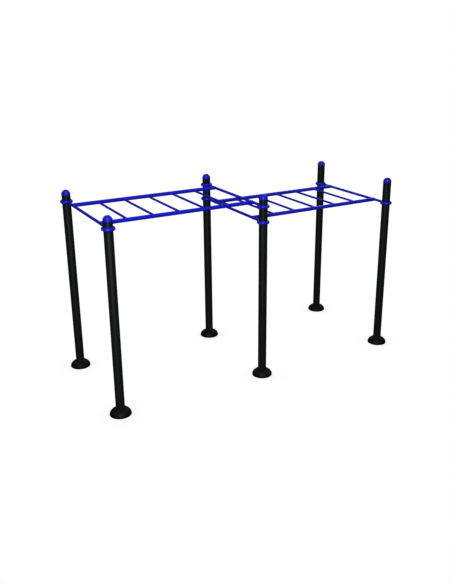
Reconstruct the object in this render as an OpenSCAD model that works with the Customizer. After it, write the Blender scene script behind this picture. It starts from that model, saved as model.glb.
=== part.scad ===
// Two-bay monkey bars: six posts carry an upper and a lower ladder, end to end.
// The bars run along X, the post rows along Y, and the ground is z = 0.
// Origin: on the ground, under the middle of the frame.

/* [Layout] */
// Distance between neighbouring posts along a row
bay_length = 2000; // [1200:50:2600]
// Distance between the front and the back row of posts
row_width = 1500; // [1300:50:1900]
// Distance between the two side rails of a ladder
rail_spacing = 1000; // [600:50:1060]
// Height of the upper ladder's tube axes
upper_height = 2300; // [2260:10:2320]
// Height of the lower ladder's tube axes
lower_height = 2100; // [1600:10:2200]

/* [Tubes] */
// Height of the post tube's upper end
post_top = 2385; // [2350:5:2600]
// Outer diameter of a post
post_d = 108; // [108:1:112]
// Wall of a post tube
post_wall = 3.5; // [3:0.5:5]
// Outer diameter of a side rail
rail_d = 48; // [40:1:52]
// Outer diameter of an end bar
bar_d = 34; // [28:1:34]
// Outer diameter of a rung
rung_d = 27; // [22:1:32]
// Wall of the rails, end bars and rungs
ladder_wall = 3; // [2:0.5:4]

/* [Base] */
// Diameter of the base plate
plate_d = 220; // [214:2:226]
// Thickness of the base plate
plate_t = 12; // [8:1:14]
// Diameter of the anchor hole circle
anchor_pcd = 180; // [176:1:184]
// Diameter of an anchor hole
anchor_hole_d = 18; // [12:1:20]
// Diameter of the domed base cover
cover_d = 260; // [250:2:280]
// Height at which the cover's dome would close without its hole
cover_apex = 88; // [86:1:96]
// Wall of the base cover
cover_wall = 5; // [3:0.5:6]

/* [Cap] */
// Height of the cap's rim band
cap_lip_h = 10; // [4:1:14]
// How far the rim band stands out from the post
cap_lip_out = 2; // [1:0.5:4]
// Length of the spigot inside the post
spigot_h = 40; // [25:5:60]

/* [Clamp] */
// Outer diameter of a clamp ring
clamp_d = 158; // [154:1:166]
// Height of a clamp ring
clamp_h = 44; // [42:1:48]
// Gap between the two clamp halves
clamp_gap = 3; // [1:0.5:6]
// Diameter of the clamp's socket for the end bar, outside
socket_d = 42; // [41:1:43]
// How far the socket reaches from the post's axis
socket_reach = 92; // [88:1:96]

/* [Hidden] */
$fn = 96;
BLUE = [0.10, 0.11, 0.72];
BLACK = [0.08, 0.085, 0.09];
ZINC = [0.62, 0.63, 0.65];

LEFT = -1;
MIDDLE = 0;
RIGHT = 1;
FRONT = -1;
BACK = 1;

// Clearances
slip = 0.1;        // radial gap between parts that fit together
contact = 0.05;    // gap left at welded saddles
drill_over = 1;    // how far a cutter runs past the face it opens

post_r = post_d / 2;
post_bore_r = post_r - post_wall;
rung_count = 5;               // the nodes name five rungs in each ladder
rung_pitch = bay_length / (rung_count + 1);

// Base: a gusset stands midway between neighbouring anchor holes
anchor_count = 4;
anchor_step = 360 / anchor_count;
gusset_t = 8;
gusset_h = 55;
gusset_foot_h = 22;
gusset_reach = plate_d / 2 - 10;
cover_steps = 30;
cover_rim_h = 6;
cover_hub_h = 22;
cover_hub_wall = 13;
cover_neck_land = 2;

// Base cover set screw, M6
set_screw_r = 3;
set_screw_length = 20;
set_screw_hex = 3;
set_screw_z = 70;

// Cap
cap_r = post_r + cap_lip_out / 2;
cap_wall = 3.5;
spigot_r = post_bore_r - 4 * slip;
spigot_wall = 3;
spigot_rib_count = 6;
spigot_rib_t = 2;
spigot_rib_h = spigot_h - 4;
spigot_rib_out = 0.35;

// Clamp screws, M8
screw_r = 4;
screw_length = 35;
screw_head_r = 6.5;
screw_head_h = 8;
screw_hex = 6;
screw_hex_depth = 4;
screw_hole_r = 4.25;
thread_hole_r = screw_r + contact;
counterbore_r = 7.25;
clamp_seat = 20;              // from the split plane to the seat of a closing screw
clamp_thread_depth = 17;      // depth of the thread beyond the split plane
socket_floor = 76;            // from the post's axis to the end bar's end
socket_seat = 63.5;           // from the post's axis to the seat of the bar screw

// Clamp ring: a half-round section round the post
clamp_round_r = clamp_h / 2;
clamp_round_at = clamp_d / 2 - clamp_round_r;
clamp_screw_x = (post_r + clamp_d / 2) / 2;
socket_taper = 1;

// Ladder
bar_reach = row_width / 2 - socket_floor;
plug_length = 25;
rail_plug_length = 30;
tall = 4000;                  // longer than anything it cuts

// ---- Helpers ----

// The corner-to-corner size of a hexagon, from its size across flats.
function hex_corners(across_flats) = across_flats / cos(30);

// Puts children at a post's foot. Column is LEFT, MIDDLE or RIGHT; row is FRONT or BACK.
module at_post(column, row) {
    translate([column * bay_length, row * row_width / 2, 0])
        children();
}

// Puts children at a clamp, turned so that local +Y points at the other row.
module at_clamp(column, row, height) {
    at_post(column, row)
        translate([0, 0, height])
            rotate([0, 0, row == BACK ? 180 : 0])
                children();
}

// A cylinder along +Y from the origin.
module rod_y(r, length) {
    rotate([-90, 0, 0])
        cylinder(r = r, h = length);
}

// A cylinder along X and centred.
module rod_x(r, length) {
    rotate([0, 90, 0])
        cylinder(r = r, h = length, center = true);
}

module ring(outer_r, inner_r, height) {
    difference() {
        cylinder(r = outer_r, h = height);
        translate([0, 0, -drill_over])
            cylinder(r = inner_r, h = height + 2 * drill_over);
    }
}

// Socket head screw: its seat is at the origin and its shank runs along +Y.
module socket_screw() {
    difference() {
        union() {
            rod_y(screw_r, screw_length);
            translate([0, -screw_head_h, 0])
                rod_y(screw_head_r, screw_head_h);
        }
        translate([0, -screw_head_h - drill_over, 0])
            rotate([-90, 0, 0])
                cylinder(d = hex_corners(screw_hex), h = screw_hex_depth + drill_over, $fn = 6);
    }
}

// ---- Posts and bases ----

module post(column, row) {
    color(BLACK)
        at_post(column, row)
            translate([0, 0, plate_t])
                ring(post_r, post_bore_r, post_top - plate_t);
}

// One gusset, its profile in the XZ plane, standing on the plate.
module gusset() {
    rotate([90, 0, 0])
        linear_extrude(gusset_t, center = true)
            polygon([
                [post_r + slip, plate_t / 2],
                [gusset_reach, plate_t / 2],
                [gusset_reach, gusset_foot_h],
                [post_r + gusset_t, gusset_h],
                [post_r + slip, gusset_h]
            ]);
}

module base_plate(column, row) {
    color(BLACK)
        at_post(column, row)
            difference() {
                union() {
                    cylinder(d = plate_d, h = plate_t);
                    for (i = [0 : anchor_count - 1])
                        rotate([0, 0, i * anchor_step])
                            gusset();
                }
                for (i = [0 : anchor_count - 1])
                    rotate([0, 0, (i + 1 / 2) * anchor_step])
                        translate([anchor_pcd / 2, 0, -drill_over])
                            cylinder(d = anchor_hole_d, h = plate_t + 2 * drill_over);
            }
}

// A solid half-ellipsoid on an upright rim, cut off level where its radius is top_r.
module dome(base_r, apex, top_r) {
    rise = apex - cover_rim_h;
    top_angle = acos(top_r / base_r);
    rotate_extrude()
        polygon([
            [0, 0],
            [base_r, 0],
            for (i = [0 : cover_steps])
                let (a = top_angle * i / cover_steps)
                    [base_r * cos(a), cover_rim_h + rise * sin(a)],
            [0, cover_rim_h + rise * sin(top_angle)]
        ]);
}

module base_cover(column, row) {
    bore_r = post_r + 3 * slip;
    hub_r = post_r + cover_hub_wall;
    color(BLACK)
        at_post(column, row)
            difference() {
                dome(cover_d / 2, cover_apex, post_r + cover_neck_land);
                difference() {
                    translate([0, 0, -drill_over])
                        dome(cover_d / 2 - cover_wall, cover_apex - cover_wall + drill_over, bore_r / 2);
                    translate([0, 0, set_screw_z - cover_hub_h / 2])
                        cylinder(r = hub_r, h = cover_hub_h);
                }
                translate([0, 0, -drill_over])
                    cylinder(r = bore_r, h = cover_apex + 2 * drill_over);
                translate([0, 0, set_screw_z])
                    rotate([0, 90, 0])
                        cylinder(r = set_screw_r + contact, h = cover_d / 2);
            }
}

module cover_set_screws() {
    color(ZINC)
        for (column = [LEFT, MIDDLE, RIGHT], row = [FRONT, BACK])
            at_post(column, row)
                translate([post_r + 2 * slip, 0, set_screw_z])
                    rotate([0, 90, 0])
                        difference() {
                            cylinder(r = set_screw_r, h = set_screw_length);
                            translate([0, 0, set_screw_length - set_screw_hex])
                                cylinder(d = hex_corners(set_screw_hex), h = set_screw_hex + drill_over, $fn = 6);
                        }
}

// ---- Post cap ----

// Half of the cap's cross-section: a domed shell on a rim band, over the wall of the spigot.
module cap_section() {
    difference() {
        union() {
            translate([0, cap_lip_h])
                circle(cap_r);
            translate([0, -spigot_h])
                square([spigot_r, spigot_h + cap_lip_h]);
            square([post_r + cap_lip_out, cap_lip_h]);
        }
        intersection() {
            translate([0, cap_lip_h])
                circle(cap_r - cap_wall);
            translate([-post_d, cap_lip_h])
                square([2 * post_d, post_d]);
        }
        translate([-post_d, -post_d])
            square([post_d + spigot_r - spigot_wall, post_d + cap_lip_h + drill_over]);
        translate([spigot_r, -post_d])
            square([post_d, post_d]);
        translate([-2 * post_d, -2 * post_d])
            square([2 * post_d, 4 * post_d]);
    }
}

module post_cap(column, row) {
    color(BLUE)
        at_post(column, row)
            translate([0, 0, post_top]) {
                rotate_extrude()
                    cap_section();
                for (i = [0 : spigot_rib_count - 1])
                    rotate([0, 0, i * 360 / spigot_rib_count])
                        translate([spigot_r - spigot_wall / 2, -spigot_rib_t / 2, -spigot_rib_h])
                            cube([spigot_wall / 2 + spigot_rib_out, spigot_rib_t, spigot_rib_h + cap_lip_h / 2]);
            }
}

// ---- Clamps ----

// The whole clamp ring, centred on the level of the end bar.
module clamp_ring() {
    rotate_extrude()
        difference() {
            translate([clamp_round_at, 0])
                circle(clamp_round_r);
            translate([0, -clamp_h])
                square([post_r + slip, 2 * clamp_h]);
        }
}

// Keeps the half of its children on local +Y, short of the split plane by half the gap.
module keep_inner_half() {
    intersection() {
        children();
        translate([-clamp_d, clamp_gap / 2, -clamp_h])
            cube([2 * clamp_d, clamp_d, 2 * clamp_h]);
    }
}

// Repeats its children on both sides of the post, where the closing screws are.
module both_clamp_ends() {
    for (side = [-1, 1])
        translate([side * clamp_screw_x, 0, 0])
            children();
}

// The half with the socket that takes the end bar.
module clamp_inner(column, row, height) {
    color(BLUE)
        at_clamp(column, row, height)
            difference() {
                union() {
                    keep_inner_half()
                        clamp_ring();
                    translate([0, socket_seat, 0])
                        rotate([-90, 0, 0])
                            cylinder(
                                d1 = socket_d + socket_taper,
                                d2 = socket_d - socket_taper,
                                h = socket_reach - socket_seat
                            );
                }
                both_clamp_ends()
                    rod_y(thread_hole_r, clamp_thread_depth);
                rod_y(screw_hole_r, socket_reach);
                rod_y(counterbore_r, socket_seat);
                translate([0, socket_floor - slip, 0])
                    rod_y(bar_d / 2 + slip, socket_reach);
            }
}

// The half on the far side of the post, closed by two screws.
module clamp_outer(column, row, height) {
    color(BLUE)
        at_clamp(column, row, height)
            rotate([0, 0, 180])
                difference() {
                    keep_inner_half()
                        clamp_ring();
                    both_clamp_ends() {
                        rod_y(screw_hole_r, clamp_seat + drill_over);
                        translate([0, clamp_seat, 0])
                            rod_y(counterbore_r, clamp_d);
                    }
                }
}

// The two closing screws and the bar screw of one clamp.
module screws_of_clamp(column, row, height) {
    at_clamp(column, row, height) {
        both_clamp_ends()
            translate([0, -clamp_seat, 0])
                socket_screw();
        translate([0, socket_seat, 0])
            socket_screw();
    }
}

module clamp_screws() {
    color(ZINC)
        for (row = [FRONT, BACK]) {
            for (column = [LEFT, MIDDLE])
                screws_of_clamp(column, row, upper_height);
            for (column = [MIDDLE, RIGHT])
                screws_of_clamp(column, row, lower_height);
        }
}

// ---- Ladders ----

// A tube along +Y, centred, with solid ends.
module plugged_tube(outer_r, length, plug) {
    difference() {
        translate([0, -length / 2, 0])
            rod_y(outer_r, length);
        translate([0, plug - length / 2, 0])
            rod_y(outer_r - ladder_wall, length - 2 * plug);
    }
}

// The bar across the end of a ladder, tapped at both ends for the bar screws.
module end_bar(column, height) {
    color(BLUE)
        translate([column * bay_length, 0, height])
            difference() {
                plugged_tube(bar_d / 2, 2 * bar_reach, plug_length);
                translate([0, -tall / 2, 0])
                    rod_y(thread_hole_r, tall);
            }
}

// A side rail, its ends saddled over the two end bars. The bay is LEFT or RIGHT.
module rail(bay, row, height) {
    color(BLUE)
        translate([bay * bay_length / 2, row * rail_spacing / 2, height])
            difference() {
                rotate([0, 0, 90])
                    plugged_tube(rail_d / 2, bay_length, rail_plug_length);
                for (end = [-1, 1])
                    translate([end * bay_length / 2, -rail_d, 0])
                        rod_y(bar_d / 2 + contact, 2 * rail_d);
            }
}

// A rung, its ends saddled against the two side rails.
module rung(bay, number, height) {
    from_left = (bay - 1) / 2 * bay_length + number * rung_pitch;
    color(BLUE)
        translate([from_left, 0, height])
            difference() {
                translate([0, -rail_spacing / 2, 0])
                    rod_y(rung_d / 2, rail_spacing);
                translate([0, -rail_spacing / 2 - drill_over, 0])
                    rod_y(rung_d / 2 - ladder_wall, rail_spacing + 2 * drill_over);
                for (row = [FRONT, BACK])
                    translate([0, row * rail_spacing / 2, 0])
                        rod_x(rail_d / 2 + contact, rail_d * 2);
            }
}

// ---- Nodes ----

post(LEFT, BACK);  // post_left_back
post(LEFT, FRONT);  // post_left_front
post(MIDDLE, BACK);  // post_middle_back
post(MIDDLE, FRONT);  // post_middle_front
post(RIGHT, BACK);  // post_right_back
post(RIGHT, FRONT);  // post_right_front

base_plate(LEFT, BACK);  // base_plate_left_back
base_plate(LEFT, FRONT);  // base_plate_left_front
base_plate(MIDDLE, BACK);  // base_plate_middle_back
base_plate(MIDDLE, FRONT);  // base_plate_middle_front
base_plate(RIGHT, BACK);  // base_plate_right_back
base_plate(RIGHT, FRONT);  // base_plate_right_front

base_cover(LEFT, BACK);  // base_cover_left_back
base_cover(LEFT, FRONT);  // base_cover_left_front
base_cover(MIDDLE, BACK);  // base_cover_middle_back
base_cover(MIDDLE, FRONT);  // base_cover_middle_front
base_cover(RIGHT, BACK);  // base_cover_right_back
base_cover(RIGHT, FRONT);  // base_cover_right_front

post_cap(LEFT, BACK);  // post_cap_left_back
post_cap(LEFT, FRONT);  // post_cap_left_front
post_cap(MIDDLE, BACK);  // post_cap_middle_back
post_cap(MIDDLE, FRONT);  // post_cap_middle_front
post_cap(RIGHT, BACK);  // post_cap_right_back
post_cap(RIGHT, FRONT);  // post_cap_right_front

clamp_inner(LEFT, BACK, upper_height);  // upper_clamp_inner_left_back
clamp_inner(LEFT, FRONT, upper_height);  // upper_clamp_inner_left_front
clamp_inner(MIDDLE, BACK, upper_height);  // upper_clamp_inner_middle_back
clamp_inner(MIDDLE, FRONT, upper_height);  // upper_clamp_inner_middle_front
clamp_inner(MIDDLE, BACK, lower_height);  // lower_clamp_inner_middle_back
clamp_inner(MIDDLE, FRONT, lower_height);  // lower_clamp_inner_middle_front
clamp_inner(RIGHT, BACK, lower_height);  // lower_clamp_inner_right_back
clamp_inner(RIGHT, FRONT, lower_height);  // lower_clamp_inner_right_front

clamp_outer(LEFT, BACK, upper_height);  // upper_clamp_outer_left_back
clamp_outer(LEFT, FRONT, upper_height);  // upper_clamp_outer_left_front
clamp_outer(MIDDLE, BACK, upper_height);  // upper_clamp_outer_middle_back
clamp_outer(MIDDLE, FRONT, upper_height);  // upper_clamp_outer_middle_front
clamp_outer(MIDDLE, BACK, lower_height);  // lower_clamp_outer_middle_back
clamp_outer(MIDDLE, FRONT, lower_height);  // lower_clamp_outer_middle_front
clamp_outer(RIGHT, BACK, lower_height);  // lower_clamp_outer_right_back
clamp_outer(RIGHT, FRONT, lower_height);  // lower_clamp_outer_right_front

end_bar(LEFT, upper_height);  // upper_end_bar_left
end_bar(MIDDLE, upper_height);  // upper_end_bar_right
end_bar(MIDDLE, lower_height);  // lower_end_bar_left
end_bar(RIGHT, lower_height);  // lower_end_bar_right
rail(LEFT, BACK, upper_height);  // upper_rail_back
rail(LEFT, FRONT, upper_height);  // upper_rail_front
rail(RIGHT, BACK, lower_height);  // lower_rail_back
rail(RIGHT, FRONT, lower_height);  // lower_rail_front
rung(LEFT, 1, upper_height);  // upper_rung_1
rung(LEFT, 2, upper_height);  // upper_rung_2
rung(LEFT, 3, upper_height);  // upper_rung_3
rung(LEFT, 4, upper_height);  // upper_rung_4
rung(LEFT, 5, upper_height);  // upper_rung_5
rung(RIGHT, 1, lower_height);  // lower_rung_1
rung(RIGHT, 2, lower_height);  // lower_rung_2
rung(RIGHT, 3, lower_height);  // lower_rung_3
rung(RIGHT, 4, lower_height);  // lower_rung_4
rung(RIGHT, 5, lower_height);  // lower_rung_5

clamp_screws();
cover_set_screws();
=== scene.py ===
"""Looks of a two-bay monkey-bar frame: powder-coated posts, ladders, cast clamps and domed caps."""
import math

import bmesh
import bpy
from mathutils import Matrix, Vector, noise


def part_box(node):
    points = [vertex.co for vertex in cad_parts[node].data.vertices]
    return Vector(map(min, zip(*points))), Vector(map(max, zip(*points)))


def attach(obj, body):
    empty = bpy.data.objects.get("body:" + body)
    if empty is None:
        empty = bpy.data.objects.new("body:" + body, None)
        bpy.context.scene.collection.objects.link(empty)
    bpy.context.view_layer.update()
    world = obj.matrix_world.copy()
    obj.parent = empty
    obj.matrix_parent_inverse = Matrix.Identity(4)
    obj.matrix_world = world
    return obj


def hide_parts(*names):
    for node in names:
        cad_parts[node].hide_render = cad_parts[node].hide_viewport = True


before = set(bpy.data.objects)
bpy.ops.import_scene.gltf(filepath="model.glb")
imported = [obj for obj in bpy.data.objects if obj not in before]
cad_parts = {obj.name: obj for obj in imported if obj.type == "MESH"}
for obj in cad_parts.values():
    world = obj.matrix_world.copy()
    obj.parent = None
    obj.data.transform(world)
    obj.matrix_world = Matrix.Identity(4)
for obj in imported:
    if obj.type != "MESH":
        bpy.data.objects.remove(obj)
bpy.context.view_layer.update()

MM = 0.001

# ---- Names of the sub-parts' places ----

COLUMNS = ("left", "middle", "right")
ROWS = ("back", "front")
POSTS = [f"{column}_{row}" for column in COLUMNS for row in ROWS]
LADDERS = {"upper": ("left", "middle"), "lower": ("middle", "right")}
LADDER_ENDS = ("left", "right")
RUNGS = (1, 2, 3, 4, 5)

# ---- Sizes, in metres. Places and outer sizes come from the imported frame. ----

POST_WALL = 3.5 * MM
POST_EDGE = 0.5 * MM

COVER_WALL = 5 * MM
COVER_RIM = 6 * MM
COVER_NECK = 1.7 * MM
COVER_FIT = 0.3 * MM
HUB_WALL = 12.7 * MM
HUB_FOOT = 59 * MM

CAP_LIP = 10 * MM
CAP_LIP_OUT = 2 * MM
CAP_WALL = 3.5 * MM
SPIGOT_GAP = 0.4 * MM
SPIGOT_WALL = 3 * MM

BAR_EDGE = 1 * MM
RAIL_EDGE = 1.5 * MM
RUNG_EDGE = 0.4 * MM
WELD_GAP = 0.05 * MM

RUNG_BEAD = 3.4 * MM
RAIL_BEAD = 3.9 * MM
BEAD_PITCH = 2.9 * MM
BEAD_RIPPLE = 0.16
BEAD_SWELL_MEAN = 0.6
BEAD_LEAN = 0.3
BEAD_WANDER = 0.08
BEAD_WANDER_SCALE = 90

SCREW_R = 4 * MM
SCREW_LENGTH = 35 * MM
SCREW_PITCH = 1.25 * MM
SCREW_ROOT = 0.86
SCREW_CREST = 0.05
SCREW_HEX = 6 * MM
HEAD_R = 6.5 * MM
HEAD_H = 8 * MM
HEAD_BEVEL = 0.6 * MM
HEAD_KNURL = 0.18 * MM
KNURL_TOP = 0.2 * MM
KNURL_FOOT = 0.3 * MM
SOCKET_DEEP = 0.75
SOCKET_WALL_DEEP = 0.65
SOCKET_RIM = 0.5 * MM
CLAMP_SCREW_X = 66.5 * MM
CLAMP_SCREW_SEAT = 20 * MM
BAR_SCREW_SEAT = 63.5 * MM

GRUB_R = 3 * MM
GRUB_LENGTH = 20 * MM
GRUB_Z = 70 * MM
GRUB_HEX = 3 * MM
GRUB_SOCKET = 3 * MM
GRUB_POINT = 0.8 * MM
GRUB_EDGE = 0.4 * MM
GRUB_GAP = 0.2 * MM
GRUB_FIT = 0.05 * MM

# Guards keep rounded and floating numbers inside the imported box.
FLOAT_GUARD = 0.001 * MM
FACET_GUARD = 0.03 * MM

# ---- Fineness: sides of round shapes, steps along curves, and the remesh of castings ----

POST_SIDES = 96
DOME_SIDES = 128
DOME_STEPS = 40
BAR_SIDES = 64
RAIL_SIDES = 72
RUNG_SIDES = 56
SCREW_SIDES = 60
GRUB_SIDES = 48
BEAD_SIDES = 10
RUNG_BEAD_STEPS = 180
RAIL_BEAD_STEPS = 360
RAIL_BEAD_SOFTENING = 40
EDGE_STEPS = 4
RAIL_END_RINGS = 12
RUNG_END_RINGS = 6
# Edge wear fades out between vertices, so long tubes have a ring this far from each end.
EDGE_RING = 5 * MM

CAST_VOXEL = 0.65 * MM
CAST_SMOOTHING = 12
CAST_KEEP = 0.16

# Faces that meet at a sharper angle than this, in degrees, keep a hard edge.
SMOOTH_ANGLE = 35
CAST_SMOOTH_ANGLE = 60

# ---- Paints: linear colours, and noise scales in features per metre ----

POST_BLACK = (0.0115, 0.0138, 0.0148)
COVER_BLACK = (0.0045, 0.0048, 0.005)
RUBBED_BLACK = (0.03, 0.03, 0.032)
COAT_BLUE = (0.009, 0.016, 0.58)
RUBBED_BLUE = (0.05, 0.06, 0.66)
CAP_BLUES = ((0.010, 0.016, 0.50), (0.014, 0.022, 0.60))
STEELS = ((0.42, 0.43, 0.44), (0.60, 0.61, 0.63))
DUST = (0.30, 0.29, 0.27)

CLOUD_SCALE = 5
CLOUD_SHADES = (0.88, 1.10)
SPECK_SCALE = 2600
SPECK_SHADE = 1.6
SPECK_SHARE = 0.10
SMUDGE_SCALE = 28
SMUDGE_ROUGHNESS = (-0.05, 0.07)
DUST_SCALE = 60
DUST_ROUGHNESS = 0.4
CHIP_SCALE = 140
WEAR_SHARE = 0.35
GRAIN_SCALE = 3200
GRAIN = 0.0015 * MM

# ---- Camera ----

CAMERA_AZIMUTH = -30.92
CAMERA_ELEVATION = 19.29
CAMERA_PLACE = (-4.4554, -7.7928, 4.3268)
CAMERA_LENS = 42.74
CAMERA_SENSOR = 36.0
CAMERA_SHIFT = (-0.0356, -0.0301)
CAMERA_REACH = 200
DISPLAY_GAMMA = 0.75

# ---- Studio: brightness of floor and room for light on matt faces and in reflections ----

FLOOR_SIZE = 60.0
FLOOR_BOUNCE = 0.35
FLOOR_MIRRORED = 0.06
CONTACT_REACH = 0.35
CONTACT_OPENNESS = (0.35, 0.97)
CONTACT_SHADES = (0.80, 1.0)
CONTACT_SAMPLES = 12
ROOM_FILL = 0.45
ROOM_LOW = 0.04
ROOM_HIGH = 0.5

LIGHTS = {
    "key": {"place": (-5.4, -9.6, 9.9), "aim": (-0.5, 0, 2.0), "size": 4.8, "strength": 5.3},
    "strip": {"place": (-3.5, -4.6, 1.5), "aim": (-1.4, -0.5, 1.2), "size": 1.2, "strength": 3.0},
    "rim": {"place": (5.5, 4.5, 5.5), "aim": (0, 0, 2.0), "size": 3.0, "strength": 1.5},
    "back_fill": {"place": (4.5, 9.0, 3.2), "aim": (0, 0, 2.0), "size": 4.0, "strength": 6.0,
                  "mirrored": False},
}


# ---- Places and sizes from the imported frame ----

def middle(node):
    low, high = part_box(node)
    return (low + high) / 2


def half_size(node, axis):
    """Half a node's size along the axis x, y or z."""
    low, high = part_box(node)
    return (getattr(high, axis) - getattr(low, axis)) / 2


def radius_of(node):
    """Half the smaller side of a round upright node's box, so a new piece stays inside the old one."""
    return min(half_size(node, "x"), half_size(node, "y"))


def upright(x, y):
    return Matrix.Translation((x, y, 0))


# ---- Mesh helpers ----

def piece_from_mesh(name, mesh, slot, replaces=(), smooth_angle=SMOOTH_ANGLE):
    """Shows a mesh as a piece that rides on the frame in place of the nodes it replaces."""
    mesh.shade_smooth()
    mesh.set_sharp_from_angle(angle=math.radians(smooth_angle))
    obj = bpy.data.objects.new(name, mesh)
    bpy.context.scene.collection.objects.link(obj)
    mesh.materials.append(MATERIALS[slot])
    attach(obj, "root")
    if replaces:
        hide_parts(*replaces)


def mesh_from(bm, name):
    """Turns a bmesh into a mesh with all faces outward, and frees it."""
    bmesh.ops.recalc_face_normals(bm, faces=bm.faces[:])
    mesh = bpy.data.meshes.new(name)
    bm.to_mesh(mesh)
    bm.free()
    return mesh


def new_piece(name, bm, slot, replaces=()):
    piece_from_mesh(name, mesh_from(bm, name), slot, replaces)


def turns(count):
    """Angles that divide a full turn into equal parts."""
    return [2 * math.pi * i / count for i in range(count)]


def add_loop(bm, points):
    return [bm.verts.new(point) for point in points]


def bridge(bm, loop_a, loop_b):
    """Joins two rings of equal length, or a ring and a single point, with faces."""
    count = max(len(loop_a), len(loop_b))
    for i in range(count):
        j = (i + 1) % count
        near = [loop_a[k % len(loop_a)] for k in (i, j)]
        far = [loop_b[k % len(loop_b)] for k in (j, i)]
        corners = list(dict.fromkeys(near + far))
        if len(corners) > 2:
            bm.faces.new(corners)


def skin(bm, loops, closed=False):
    """Bridges each loop to the next, and the last one to the first if closed."""
    followers = loops[1:]
    if closed:
        followers.append(loops[0])
    for loop, follower in zip(loops, followers):
        bridge(bm, loop, follower)


def rounded(points, radii, steps=EDGE_STEPS):
    """A closed profile with its corners rounded: one radius for each corner, 0 to leave it sharp."""
    out = []
    count = len(points)
    for i, radius in enumerate(radii):
        here = Vector(points[i])
        before = Vector(points[i - 1]) - here
        after = Vector(points[(i + 1) % count]) - here
        half = before.angle(after) / 2
        if radius <= 0:
            out.append(tuple(here))
            continue
        reach = radius / math.tan(half)
        centre = here + (before.normalized() + after.normalized()).normalized() * radius / math.sin(half)
        start = here + before.normalized() * reach - centre
        end = here + after.normalized() * reach - centre
        turn = start.angle_signed(end)
        for k in range(steps + 1):
            spoke = Matrix.Rotation(-turn * k / steps, 2) @ start
            out.append(tuple(centre + spoke))
    return out


def ellipse_arc(r, rise, base_z, start, end):
    """Points along a half-ellipse section from one angle to another, both in radians."""
    angles = [start + (end - start) * i / DOME_STEPS for i in range(DOME_STEPS + 1)]
    return [(r * math.cos(a), base_z + rise * math.sin(a)) for a in angles]


def lathe(bm, profile, sides, place):
    """Revolves a closed (radius, height) profile about local Z. Points on the axis become poles."""
    on_axis = 1e-7
    loops = []
    for radius, height in profile:
        angles = turns(sides) if radius > on_axis else [0]
        spokes = [(radius * math.cos(a), radius * math.sin(a), height) for a in angles]
        loops.append(add_loop(bm, [place @ Vector(spoke) for spoke in spokes]))
    skin(bm, loops, closed=len(loops[0]) > 1 or len(loops[-1]) > 1)


def saddled_bar(bm, radius, half_length, crossing_r, place, sides, edge, end_rings):
    """A closed bar along local Y whose ends are saddled over crossing cylinders along local X.

    half_length runs to the crossing cylinders' axes. The crossing may be thinner than the bar.
    """
    def ring(r, inset, side):
        points = []
        for a in turns(sides):
            z = r * math.sin(a)
            saddle = math.sqrt(max(0.0, crossing_r * crossing_r - z * z))
            points.append(place @ Vector((r * math.cos(a), side * (half_length - saddle - inset), z)))
        return add_loop(bm, points)

    def pole(side):
        return add_loop(bm, [place @ Vector((0, side * (half_length - crossing_r), 0))])

    stations = [(radius, EDGE_RING)]
    for k in range(EDGE_STEPS + 1):
        turn = math.pi / 2 * k / EDGE_STEPS
        stations.append((radius - edge * (1 - math.cos(turn)), edge * (1 - math.sin(turn))))
    for k in range(1, end_rings):
        stations.append(((radius - edge) * (1 - k / end_rings), 0.0))
    loops = [pole(-1)]
    loops += [ring(r, inset, -1) for r, inset in reversed(stations)]
    loops += [ring(r, inset, 1) for r, inset in stations]
    loops.append(pole(1))
    skin(bm, loops)


def weld_bead(bm, path, spokes, bead_r, seed):
    """A rippled bead along a closed path. Each point's spoke is any direction that isn't along the path."""
    count = len(path)
    lengths = [0.0]
    for i in range(count):
        lengths.append(lengths[-1] + (path[(i + 1) % count] - path[i]).length)
    ripples = round(lengths[-1] / BEAD_PITCH)
    loops = []
    for i in range(count):
        along = (path[(i + 1) % count] - path[i - 1]).normalized()
        across = (spokes[i] - along * along.dot(spokes[i])).normalized()
        other = along.cross(across)
        wander = BEAD_WANDER * noise.noise(path[i] * BEAD_WANDER_SCALE + Vector((seed, 0, 0)))
        ring = []
        for turn in turns(BEAD_SIDES):
            phase = (lengths[i] / lengths[-1] * ripples + BEAD_LEAN * math.cos(turn)) % 1.0
            swell = math.sqrt(max(0.0, 1 - (2 * phase - 1) ** 2)) - BEAD_SWELL_MEAN
            r = bead_r * (1 + BEAD_RIPPLE * swell + wander)
            ring.append(path[i] + across * (r * math.cos(turn)) + other * (r * math.sin(turn)))
        loops.append(add_loop(bm, ring))
    skin(bm, loops, closed=True)


def cut(mesh, tool_mesh):
    """Cuts one mesh out of another with an exact boolean."""
    body = bpy.data.objects.new("body", mesh)
    tool = bpy.data.objects.new("tool", tool_mesh)
    bpy.context.scene.collection.objects.link(body)
    bpy.context.scene.collection.objects.link(tool)
    boolean = body.modifiers.new("cut", "BOOLEAN")
    boolean.object = tool
    boolean.operation = "DIFFERENCE"
    boolean.solver = "EXACT"
    depsgraph = bpy.context.evaluated_depsgraph_get()
    result = bpy.data.meshes.new_from_object(body.evaluated_get(depsgraph))
    bpy.data.objects.remove(body)
    bpy.data.objects.remove(tool)
    return result


# ---- Materials ----

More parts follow.
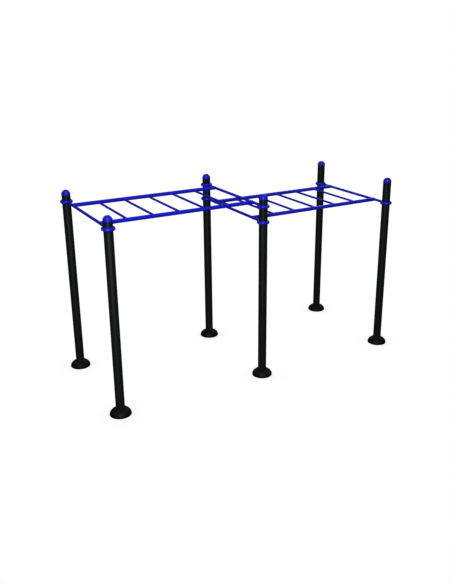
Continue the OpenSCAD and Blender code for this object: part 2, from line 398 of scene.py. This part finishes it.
class Shader:
    """A new material, with short ways to add and join its nodes."""

    def __init__(self, name):
        self.material = bpy.data.materials.new(name)
        self.material.use_nodes = True
        self.tree = self.material.node_tree
        self.tree.nodes.clear()
        self.output = self.add("ShaderNodeOutputMaterial")
        self.surface = self.add("ShaderNodeBsdfPrincipled")
        self.link(self.surface.outputs["BSDF"], self.output.inputs["Surface"])
        self.place = self.add("ShaderNodeTexCoord").outputs["Object"]

    def add(self, kind, **settings):
        node = self.tree.nodes.new(kind)
        for key, value in settings.items():
            setattr(node, key, value)
        return node

    def link(self, source, target):
        self.tree.links.new(source, target)

    def feed(self, socket, value):
        """Gives a socket a number, or links another node's output to it."""
        if isinstance(value, (int, float)):
            socket.default_value = value
        else:
            self.link(value, socket)

    def noise(self, scale, detail=2.0, roughness=0.5, vector=None):
        node = self.add("ShaderNodeTexNoise")
        self.feed(node.inputs["Scale"], scale)
        self.feed(node.inputs["Detail"], detail)
        self.feed(node.inputs["Roughness"], roughness)
        self.link(vector or self.place, node.inputs["Vector"])
        return node.outputs["Fac"]

    def stretch(self, scale):
        """The place on the surface, scaled along x, y and z."""
        node = self.add("ShaderNodeMapping")
        node.inputs["Scale"].default_value = scale
        self.link(self.place, node.inputs["Vector"])
        return node.outputs["Vector"]

    def spread(self, value, low, high, to_low=0.0, to_high=1.0):
        """Maps low to high onto to_low to to_high, and holds at both ends."""
        node = self.add("ShaderNodeMapRange")
        for name, number in zip(("From Min", "From Max", "To Min", "To Max"), (low, high, to_low, to_high)):
            self.feed(node.inputs[name], number)
        self.link(value, node.inputs["Value"])
        return node.outputs["Result"]

    def math(self, operation, first, second):
        node = self.add("ShaderNodeMath", operation=operation)
        self.feed(node.inputs[0], first)
        self.feed(node.inputs[1], second)
        return node.outputs["Value"]

    def mix(self, factor, first, second):
        """Mixes two colours. Each is a tuple or another node's output."""
        node = self.add("ShaderNodeMix", data_type="RGBA")
        self.link(factor, node.inputs["Factor"])
        sockets = [socket for socket in node.inputs if socket.type == "RGBA"]
        for socket, value in zip(sockets, (first, second)):
            if isinstance(value, tuple):
                socket.default_value = (*value, 1)
            else:
                self.link(value, socket)
        return [socket for socket in node.outputs if socket.type == "RGBA"][0]

    def bump(self, height, distance, after=None):
        """Bumps of that height in metres, on top of an earlier bump if one is given."""
        node = self.add("ShaderNodeBump")
        self.feed(node.inputs["Strength"], 1.0)
        self.feed(node.inputs["Distance"], distance)
        self.link(height, node.inputs["Height"])
        if after:
            self.link(after, node.inputs["Normal"])
        return node.outputs["Normal"]

    def finish(self, **values):
        """Feeds the named inputs of the surface and returns the material."""
        for name, value in values.items():
            self.feed(self.surface.inputs[name.replace("_", " ")], value)
        return self.material


def shade(colour, factor):
    return tuple(min(1.0, c * factor) for c in colour)


def edge_wear(s):
    """Near 1 on sharp outside edges, broken up by noise."""
    geometry = s.add("ShaderNodeNewGeometry")
    sharp = s.spread(geometry.outputs["Pointiness"], 0.53, 0.62)
    chips = s.spread(s.noise(CHIP_SCALE, 3), 0.42, 0.62)
    return s.math("MULTIPLY", sharp, chips)


def settled_dust(s, amount):
    """Patches on faces that look up, with that much dust where they are thickest."""
    geometry = s.add("ShaderNodeNewGeometry")
    split = s.add("ShaderNodeSeparateXYZ")
    s.link(geometry.outputs["Normal"], split.inputs["Vector"])
    upward = s.spread(split.outputs["Z"], 0.55, 1.0)
    patches = s.spread(s.noise(DUST_SCALE, 5, 0.7), 0.35, 0.7, 0, amount)
    return s.math("MULTIPLY", upward, patches)


def powder_coat(name, colour, worn, roughness, peel=0.05 * MM, peel_scale=420, specular=0.5, dust=0.0):
    """Powder coat: faint clouds and specks, rubbed edges, settled dust, orange peel and fine grain."""
    s = Shader(name)
    clouds = s.spread(s.noise(CLOUD_SCALE, 4, 0.6), 0.3, 0.7)
    base = s.mix(clouds, shade(colour, CLOUD_SHADES[0]), shade(colour, CLOUD_SHADES[1]))
    specks = s.spread(s.noise(SPECK_SCALE, 1), 0.35, 0.65)
    base = s.mix(s.math("MULTIPLY", specks, SPECK_SHARE), base, shade(colour, SPECK_SHADE))
    base = s.mix(s.math("MULTIPLY", edge_wear(s), WEAR_SHARE), base, worn)
    smooth, dull = (roughness + change for change in SMUDGE_ROUGHNESS)
    rough = s.spread(s.noise(SMUDGE_SCALE, 5, 0.65), 0.25, 0.75, smooth, dull)
    if dust:
        dusty = settled_dust(s, dust)
        base = s.mix(dusty, base, DUST)
        rough = s.math("ADD", rough, s.math("MULTIPLY", dusty, DUST_ROUGHNESS))
    orange_peel = s.bump(s.noise(peel_scale, 2, 0.45), peel)
    grain = s.bump(s.noise(GRAIN_SCALE, 1), GRAIN, after=orange_peel)
    return s.finish(Base_Color=base, Roughness=rough, Specular_IOR_Level=specular, Normal=grain)


def post_material():
    return powder_coat("black_powder_coat", POST_BLACK, RUBBED_BLACK, 0.50, dust=0.02)


def cover_material():
    """The posts' coat on a rougher casting that lies lower and gathers more dust."""
    return powder_coat("black_cast_coat", COVER_BLACK, RUBBED_BLACK, 0.55,
                       peel=0.12 * MM, peel_scale=230, specular=0.3, dust=0.03)


def ladder_material():
    return powder_coat("blue_powder_coat", COAT_BLUE, RUBBED_BLUE, 0.36)


def clamp_material():
    """The ladders' coat on a rougher casting."""
    return powder_coat("blue_cast_coat", COAT_BLUE, RUBBED_BLUE, 0.36, peel=0.10 * MM, peel_scale=260)


def cap_material():
    """Glossy moulded plastic with faint upright flow marks."""
    s = Shader("blue_moulded_plastic")
    flow = s.spread(s.noise(1, 4, 0.6, s.stretch((30, 30, 6))), 0.3, 0.7)
    base = s.mix(flow, *CAP_BLUES)
    rough = s.spread(s.noise(70, 5, 0.7), 0.3, 0.75, 0.30, 0.40)
    dents = s.bump(s.noise(160, 3, 0.5), 0.03 * MM)
    return s.finish(Base_Color=base, Roughness=rough, Normal=dents)


def steel_material():
    """Stainless steel with turning marks."""
    s = Shader("stainless_steel")
    base = s.mix(s.spread(s.noise(180, 4), 0.3, 0.7), *STEELS)
    rough = s.spread(s.noise(900, 4, 0.6), 0.25, 0.75, 0.22, 0.42)
    marks = s.bump(s.noise(1, 2, 0.5, s.stretch((600, 5200, 600))), 0.02 * MM)
    return s.finish(Base_Color=base, Roughness=rough, Metallic=1.0, Normal=marks)


MATERIALS = {
    "post_black": post_material(),
    "cover_black": cover_material(),
    "ladder_blue": ladder_material(),
    "clamp_blue": clamp_material(),
    "cap_blue": cap_material(),
    "screw_steel": steel_material(),
}


# ---- Posts, caps and base covers ----

def build_post(where):
    """A steel tube with broken edges."""
    node = f"post_{where}"
    low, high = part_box(node)
    r = radius_of(node)
    bore = r - POST_WALL
    outside = [(r, low.z), (r, low.z + EDGE_RING), (r, high.z - EDGE_RING), (r, high.z)]
    inside = [(bore, high.z), (bore, high.z - EDGE_RING), (bore, low.z + EDGE_RING), (bore, low.z)]
    profile = rounded(outside + inside, [POST_EDGE, 0, 0, POST_EDGE] * 2, steps=3)
    here = middle(node)
    bm = bmesh.new()
    lathe(bm, profile, POST_SIDES, upright(here.x, here.y))
    new_piece(f"tube_{where}", bm, "post_black", [node])


def build_cap(where):
    """A domed cap: hollow dome, rounded rim band, and the spigot that sits in the post."""
    node = f"post_cap_{where}"
    low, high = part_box(node)
    lip_r = radius_of(node)
    dome_r = lip_r - CAP_LIP_OUT / 2
    shell_r = dome_r - CAP_WALL
    spigot_r = radius_of(f"post_{where}") - POST_WALL - SPIGOT_GAP
    bore_r = spigot_r - SPIGOT_WALL
    rim_z = high.z - dome_r
    base_z = rim_z - CAP_LIP
    dome = ellipse_arc(dome_r, dome_r, rim_z, 0, math.pi / 2)
    dome[-1] = (0, high.z)
    hollow = ellipse_arc(shell_r, shell_r, rim_z, math.acos(bore_r / shell_r), math.pi / 2)[::-1]
    hollow[0] = (0, rim_z + shell_r)
    spigot = [(bore_r, low.z), (spigot_r, low.z)]
    band = [(spigot_r, base_z), (lip_r, base_z), (lip_r, rim_z), (dome_r, rim_z)]
    band = rounded(band, [0, 0.8 * MM, 0.7 * MM, 0])
    here = middle(node)
    bm = bmesh.new()
    lathe(bm, hollow + spigot + band + dome, DOME_SIDES, upright(here.x, here.y))
    new_piece(f"cap_{where}", bm, "cap_blue", [node])


def coat_base_plate(where):
    """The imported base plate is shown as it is, in the posts' coat."""
    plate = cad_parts[f"base_plate_{where}"].data
    plate.materials.clear()
    plate.materials.append(MATERIALS["post_black"])


def cover_profile(r, height, bore_r):
    """Section of the base cover: a half-ellipse shell on a short rim, with a hub inside its neck."""
    neck_angle = math.acos((bore_r + COVER_NECK) / r)
    rise = (height - COVER_RIM) / math.sin(neck_angle)
    outside = ellipse_arc(r, rise, COVER_RIM, 0, neck_angle)
    inner_r = r - COVER_WALL
    hub_r = bore_r + HUB_WALL
    hub_angle = math.acos(hub_r / inner_r)
    inside = ellipse_arc(inner_r, rise - COVER_WALL, COVER_RIM, hub_angle, 0)
    foot = [(inner_r, 0), (r, 0)]
    neck = [(bore_r, height), (bore_r, HUB_FOOT), (hub_r, HUB_FOOT)]
    foot_edges = [0.8 * MM, 1.6 * MM]
    outside_edges = [1.2 * MM] + [0] * (DOME_STEPS - 1) + [0.8 * MM]
    neck_edges = [0.4 * MM, 0.6 * MM, 0.6 * MM]
    inside_edges = [0] * (DOME_STEPS + 1)
    radii = foot_edges + outside_edges + neck_edges + inside_edges
    return rounded(foot + outside + neck + inside, radii)


def build_covers():
    """One base cover with its grub screw hole, copied to all six posts."""
    pattern = f"base_cover_{POSTS[0]}"
    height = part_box(pattern)[1].z
    r = radius_of(pattern) - FACET_GUARD
    bore_r = radius_of(f"post_{POSTS[0]}") + COVER_FIT
    cover = bmesh.new()
    lathe(cover, cover_profile(r, height, bore_r), DOME_SIDES, upright(0, 0))
    hole_r = GRUB_R + GRUB_FIT
    hole = bmesh.new()
    sideways = Matrix.Translation((0, 0, GRUB_Z)) @ Matrix.Rotation(math.pi / 2, 4, "Y")
    lathe(hole, [(0, 0), (hole_r, 0), (hole_r, r), (0, r)], GRUB_SIDES, sideways)
    pierced = cut(mesh_from(cover, "cover"), mesh_from(hole, "hole"))
    for where in POSTS:
        here = middle(f"post_{where}")
        copy = pierced.copy()
        copy.transform(Matrix.Translation((here.x, here.y, FLOAT_GUARD)))
        piece_from_mesh(f"cover_{where}", copy, "cover_black", [f"base_cover_{where}"])


# ---- Ladders ----

def build_end_bar(ladder, side):
    """The solid bar across a ladder's end."""
    node = f"{ladder}_end_bar_{side}"
    r = half_size(node, "x")
    half = half_size(node, "y")
    near = half - EDGE_RING
    outline = [(0, -half), (r, -half), (r, -near), (r, near), (r, half), (0, half)]
    profile = rounded(outline, [0, BAR_EDGE, 0, 0, BAR_EDGE, 0])
    bm = bmesh.new()
    lathe(bm, profile, BAR_SIDES, Matrix.Translation(middle(node)) @ Matrix.Rotation(math.pi / 2, 4, "X"))
    new_piece(f"bar_{ladder}_{side}", bm, "ladder_blue", [node])


def build_rail(ladder, row):
    """A side rail, saddled over the end bars."""
    node = f"{ladder}_rail_{row}"
    bar_r = half_size(f"{ladder}_end_bar_left", "x")
    place = Matrix.Translation(middle(node)) @ Matrix.Rotation(math.pi / 2, 4, "Z")
    bm = bmesh.new()
    saddled_bar(bm, half_size(node, "y"), half_size(node, "x"), bar_r + WELD_GAP, place,
                RAIL_SIDES, RAIL_EDGE, RAIL_END_RINGS)
    new_piece(f"rail_{ladder}_{row}", bm, "ladder_blue", [node])


def build_rung(ladder, number):
    """A rung, saddled over the side rails."""
    node = f"{ladder}_rung_{number}"
    rail = f"{ladder}_rail_back"
    place = Matrix.Translation(middle(node))
    bm = bmesh.new()
    saddled_bar(bm, half_size(node, "x"), middle(rail).y, half_size(rail, "y") + WELD_GAP, place,
                RUNG_SIDES, RUNG_EDGE, RUNG_END_RINGS)
    new_piece(f"rung_{ladder}_{number}", bm, "ladder_blue", [node])


def soften(path, passes):
    """Rounds off the corners of a closed path."""
    for _ in range(passes):
        count = len(path)
        path = [path[i] * 0.5 + (path[i - 1] + path[(i + 1) % count]) * 0.25 for i in range(count)]
    return path


def rung_beads(bm, ladder, number):
    """The beads where one rung meets the two rails."""
    rung = f"{ladder}_rung_{number}"
    rail = f"{ladder}_rail_back"
    here = middle(rung)
    r = half_size(rung, "x")
    rail_r = half_size(rail, "y")
    spokes = [Vector((math.cos(a), 0, math.sin(a))) for a in turns(RUNG_BEAD_STEPS)]
    for side in (-1, 1):
        path = []
        for spoke in spokes:
            y = side * (middle(rail).y - math.sqrt(rail_r ** 2 - (r * spoke.z) ** 2))
            path.append(Vector((here.x, y, here.z)) + spoke * r)
        weld_bead(bm, path, spokes, RUNG_BEAD, number * side)


def rail_beads(bm, ladder, row):
    """The beads where one rail meets the two end bars."""
    rail = f"{ladder}_rail_{row}"
    bar_r = half_size(f"{ladder}_end_bar_left", "x")
    r = half_size(rail, "y")
    here = middle(rail)
    low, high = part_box(rail)
    spokes = [Vector((0, math.cos(a), math.sin(a))) for a in turns(RAIL_BEAD_STEPS)]
    for side, bar_x in ((-1, low.x), (1, high.x)):
        path = []
        for spoke in spokes:
            z = max(-bar_r, min(bar_r, r * spoke.z))
            x = bar_x - side * math.sqrt(max(0.0, bar_r ** 2 - z ** 2))
            path.append(Vector((x, here.y + r * spoke.y, here.z + z)))
        weld_bead(bm, soften(path, RAIL_BEAD_SOFTENING), spokes, RAIL_BEAD, side * 3)


def build_welds(ladder):
    """All the weld beads of one ladder, as one piece."""
    bm = bmesh.new()
    for number in RUNGS:
        rung_beads(bm, ladder, number)
    for row in ROWS:
        rail_beads(bm, ladder, row)
    new_piece(f"welds_{ladder}", bm, "ladder_blue")


# ---- Clamps ----

def clamp_places():
    """The ladder, column and row of each clamp, with its place. In the back row it has half a turn."""
    for ladder, columns in LADDERS.items():
        for column in columns:
            for row in ROWS:
                post = middle(f"post_{column}_{row}")
                height = middle(f"{ladder}_clamp_outer_{column}_{row}").z
                turn = Matrix.Rotation(math.pi if row == "back" else 0.0, 4, "Z")
                yield ladder, column, row, Matrix.Translation((post.x, post.y, height)) @ turn


def cast_copy(node):
    """A copy of a node's mesh with the soft edges and filled corners of a casting."""
    bm = bmesh.new()
    bm.from_mesh(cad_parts[node].data)
    bmesh.ops.remove_doubles(bm, verts=bm.verts[:], dist=0.002 * MM)
    source = bpy.data.meshes.new("casting")
    bm.to_mesh(source)
    bm.free()
    source.materials.clear()
    obj = bpy.data.objects.new("casting", source)
    bpy.context.scene.collection.objects.link(obj)
    remesh = obj.modifiers.new("remesh", "REMESH")
    remesh.mode = "VOXEL"
    remesh.voxel_size = CAST_VOXEL
    smooth = obj.modifiers.new("smooth", "SMOOTH")
    smooth.factor = 0.5
    smooth.iterations = CAST_SMOOTHING
    thin = obj.modifiers.new("thin", "DECIMATE")
    thin.ratio = CAST_KEEP
    depsgraph = bpy.context.evaluated_depsgraph_get()
    mesh = bpy.data.meshes.new_from_object(obj.evaluated_get(depsgraph))
    bpy.data.objects.remove(obj)
    return mesh


def build_clamps():
    """Both halves of every clamp, from one casting of each."""
    post = middle("post_left_front")
    height = middle("upper_clamp_outer_left_front").z
    to_origin = Matrix.Translation((-post.x, -post.y, -height))
    for half in ("inner", "outer"):
        pattern = cast_copy(f"upper_clamp_{half}_left_front")
        for ladder, column, row, place in clamp_places():
            mesh = pattern.copy()
            mesh.transform(place @ to_origin)
            node = f"{ladder}_clamp_{half}_{column}_{row}"
            name = f"clamp_{ladder}_{half}_{column}_{row}"
            piece_from_mesh(name, mesh, "clamp_blue", [node], CAST_SMOOTH_ANGLE)


# ---- Screws ----

def socket_screw(bm, place):
    """A socket head screw with a knurled head and a thread: seat at the origin, shank along -Z."""
    def ring(r, z, knurled=False):
        points = []
        for i, a in enumerate(turns(SCREW_SIDES)):
            groove = HEAD_KNURL * (i % 2) if knurled else 0
            points.append(place @ Vector(((r - groove) * math.cos(a), (r - groove) * math.sin(a), z)))
        return add_loop(bm, points)

    def hex_ring(z):
        points = []
        for a in turns(SCREW_SIDES):
            r = SCREW_HEX / 2 / math.cos((a % (math.pi / 3)) - math.pi / 6)
            points.append(place @ Vector((r * math.cos(a), r * math.sin(a), z)))
        return add_loop(bm, points)

    def pole(z):
        return add_loop(bm, [place @ Vector((0, 0, z))])

    corner_r = SCREW_HEX / 2 / math.cos(math.pi / 6)
    loops = [
        pole(HEAD_H - SCREW_HEX * SOCKET_DEEP),
        hex_ring(HEAD_H - SCREW_HEX * SOCKET_WALL_DEEP),
        hex_ring(HEAD_H),
        ring(corner_r + SOCKET_RIM, HEAD_H),
        ring(HEAD_R - HEAD_BEVEL, HEAD_H),
        ring(HEAD_R - HEAD_KNURL, HEAD_H - HEAD_BEVEL),
        ring(HEAD_R, HEAD_H - HEAD_BEVEL - KNURL_TOP, knurled=True),
        ring(HEAD_R, KNURL_FOOT, knurled=True),
        ring(HEAD_R - HEAD_KNURL, 0),
        ring(SCREW_R, 0),
    ]
    for k in range(int(SCREW_LENGTH / SCREW_PITCH)):
        loops.append(ring(SCREW_R, -(k + SCREW_CREST) * SCREW_PITCH))
        loops.append(ring(SCREW_R * SCREW_ROOT, -(k + 0.5) * SCREW_PITCH))
    loops.append(ring(SCREW_R * SCREW_ROOT, -SCREW_LENGTH))
    loops.append(pole(-SCREW_LENGTH))
    skin(bm, loops)


def build_clamp_screws():
    """Three screws to a clamp: one each side that closes it, and one in the end bar."""
    seats = [
        (-CLAMP_SCREW_X, -CLAMP_SCREW_SEAT),
        (CLAMP_SCREW_X, -CLAMP_SCREW_SEAT),
        (0.0, BAR_SCREW_SEAT),
    ]
    head_forward = Matrix.Rotation(math.pi / 2, 4, "X")
    bm = bmesh.new()
    for _, _, _, place in clamp_places():
        for x, y in seats:
            socket_screw(bm, place @ Matrix.Translation((x, y, 0)) @ head_forward)
    new_piece("socket_screws", bm, "screw_steel", ["clamp_screws"])


def build_grub_screws():
    """Headless screws with a round socket as wide as a hexagon key, one in each base cover."""
    socket_r = GRUB_HEX / 2 / math.cos(math.pi / 6)
    outline = [
        (0, 0), (GRUB_R - GRUB_POINT, 0), (GRUB_R, GRUB_POINT),
        (GRUB_R, GRUB_LENGTH - GRUB_EDGE), (GRUB_R - GRUB_EDGE, GRUB_LENGTH),
        (socket_r, GRUB_LENGTH), (socket_r, GRUB_LENGTH - GRUB_SOCKET), (0, GRUB_LENGTH - GRUB_SOCKET),
    ]
    bm = bmesh.new()
    for where in POSTS:
        post = middle(f"post_{where}")
        start = radius_of(f"post_{where}") + GRUB_GAP
        place = Matrix.Translation((post.x + start, post.y, GRUB_Z)) @ Matrix.Rotation(math.pi / 2, 4, "Y")
        lathe(bm, outline, GRUB_SIDES, place)
    new_piece("grub_screws", bm, "screw_steel", ["cover_set_screws"])


# ---- Stage ----

def by_ray(tree, seen, diffuse, glossy):
    """Joins three shaders: what the camera sees, what lights matt surfaces, and what shiny ones mirror."""
    path = tree.nodes.new("ShaderNodeLightPath")
    bounced = tree.nodes.new("ShaderNodeMixShader")
    chosen = tree.nodes.new("ShaderNodeMixShader")
    tree.links.new(path.outputs["Is Diffuse Ray"], bounced.inputs[0])
    tree.links.new(glossy, bounced.inputs[1])
    tree.links.new(diffuse, bounced.inputs[2])
    tree.links.new(path.outputs["Is Camera Ray"], chosen.inputs[0])
    tree.links.new(bounced.outputs[0], chosen.inputs[1])
    tree.links.new(seen, chosen.inputs[2])
    return chosen.outputs[0]


def glow(tree, kind, strength):
    """A white emission or background shader."""
    node = tree.nodes.new(kind)
    node.inputs["Strength"].default_value = strength
    node.inputs["Color"].default_value = (1, 1, 1, 1)
    return node


def map_range(tree, value, source, target):
    node = tree.nodes.new("ShaderNodeMapRange")
    node.inputs["From Min"].default_value, node.inputs["From Max"].default_value = source
    node.inputs["To Min"].default_value, node.inputs["To Max"].default_value = target
    tree.links.new(value, node.inputs["Value"])
    return node.outputs["Result"]


def floor_material():
    """White with soft contact shadows to the camera, and darker in the light that it throws back."""
    material = bpy.data.materials.new("pale_floor")
    material.use_nodes = True
    tree = material.node_tree
    tree.nodes.clear()
    openness = tree.nodes.new("ShaderNodeAmbientOcclusion")
    openness.samples = CONTACT_SAMPLES
    openness.inputs["Distance"].default_value = CONTACT_REACH
    seen = glow(tree, "ShaderNodeEmission", 1.0)
    shadow = map_range(tree, openness.outputs["AO"], CONTACT_OPENNESS, CONTACT_SHADES)
    tree.links.new(shadow, seen.inputs["Strength"])
    bounce = glow(tree, "ShaderNodeEmission", FLOOR_BOUNCE)
    mirrored = tree.nodes.new("ShaderNodeBsdfDiffuse")
    mirrored.inputs["Color"].default_value = (FLOOR_MIRRORED, FLOOR_MIRRORED, FLOOR_MIRRORED, 1)
    output = tree.nodes.new("ShaderNodeOutputMaterial")
    surface = by_ray(tree, seen.outputs[0], bounce.outputs[0], mirrored.outputs[0])
    tree.links.new(surface, output.inputs["Surface"])
    return material


def build_floor():
    """A flat pale floor that reaches out of sight."""
    bm = bmesh.new()
    corners = ((-1, -1), (1, -1), (1, 1), (-1, 1))
    bm.faces.new(add_loop(bm, [(x * FLOOR_SIZE, y * FLOOR_SIZE, 0) for x, y in corners]))
    mesh = bpy.data.meshes.new("floor")
    bm.to_mesh(mesh)
    bm.free()
    mesh.materials.append(floor_material())
    floor = bpy.data.objects.new("floor", mesh)
    bpy.context.scene.collection.objects.link(floor)


def build_world():
    """White to the camera, even light on matt surfaces, and a dim room with a bright top in reflections."""
    world = bpy.data.worlds.new("studio")
    bpy.context.scene.world = world
    world.use_nodes = True
    tree = world.node_tree
    tree.nodes.clear()
    place = tree.nodes.new("ShaderNodeTexCoord")
    split = tree.nodes.new("ShaderNodeSeparateXYZ")
    tree.links.new(place.outputs["Generated"], split.inputs[0])
    mirrored = glow(tree, "ShaderNodeBackground", 1.0)
    room = map_range(tree, split.outputs["Z"], (0.0, 1.0), (ROOM_LOW, ROOM_HIGH))
    tree.links.new(room, mirrored.inputs["Strength"])
    seen = glow(tree, "ShaderNodeBackground", 1.0)
    fill = glow(tree, "ShaderNodeBackground", ROOM_FILL)
    output = tree.nodes.new("ShaderNodeOutputWorld")
    surface = by_ray(tree, seen.outputs[0], fill.outputs[0], mirrored.outputs[0])
    tree.links.new(surface, output.inputs["Surface"])


def area_light(name, place, aim, size, strength, mirrored=True):
    """A square soft light that the camera can't see.

    A strength of 10 lights a white face near its aim to about 1. A light that isn't mirrored gives no shine,
    so it can stand opposite the camera.
    """
    reach = Vector(aim) - Vector(place)
    light = bpy.data.lights.new(name, "AREA")
    light.shape = "SQUARE"
    light.size = size
    light.energy = strength * reach.length_squared
    obj = bpy.data.objects.new(name, light)
    obj.location = place
    obj.rotation_euler = reach.to_track_quat("-Z", "Y").to_euler()
    obj.visible_camera = False
    obj.visible_glossy = mirrored
    bpy.context.scene.collection.objects.link(obj)


def build_camera():
    """The photograph's angle. A gamma below 1 keeps thin dark tubes on white from looking too thin."""
    data = bpy.data.cameras.new("camera")
    data.sensor_width = CAMERA_SENSOR
    data.sensor_fit = "AUTO"
    data.lens = CAMERA_LENS
    data.shift_x, data.shift_y = CAMERA_SHIFT
    data.clip_end = CAMERA_REACH
    camera = bpy.data.objects.new("camera", data)
    camera.location = CAMERA_PLACE
    camera.rotation_euler = (math.radians(90 - CAMERA_ELEVATION), 0, math.radians(CAMERA_AZIMUTH))
    bpy.context.scene.collection.objects.link(camera)
    bpy.context.scene.camera = camera
    bpy.context.scene.view_settings.view_transform = "Standard"
    bpy.context.scene.view_settings.gamma = DISPLAY_GAMMA


# ---- Build ----

for where in POSTS:
    build_post(where)
    build_cap(where)
    coat_base_plate(where)
build_covers()

for ladder in LADDERS:
    for side in LADDER_ENDS:
        build_end_bar(ladder, side)
    for row in ROWS:
        build_rail(ladder, row)
    for number in RUNGS:
        build_rung(ladder, number)
    build_welds(ladder)

build_clamps()
build_clamp_screws()
build_grub_screws()

build_floor()
build_world()
for name, light in LIGHTS.items():
    area_light(name, **light)
build_camera()
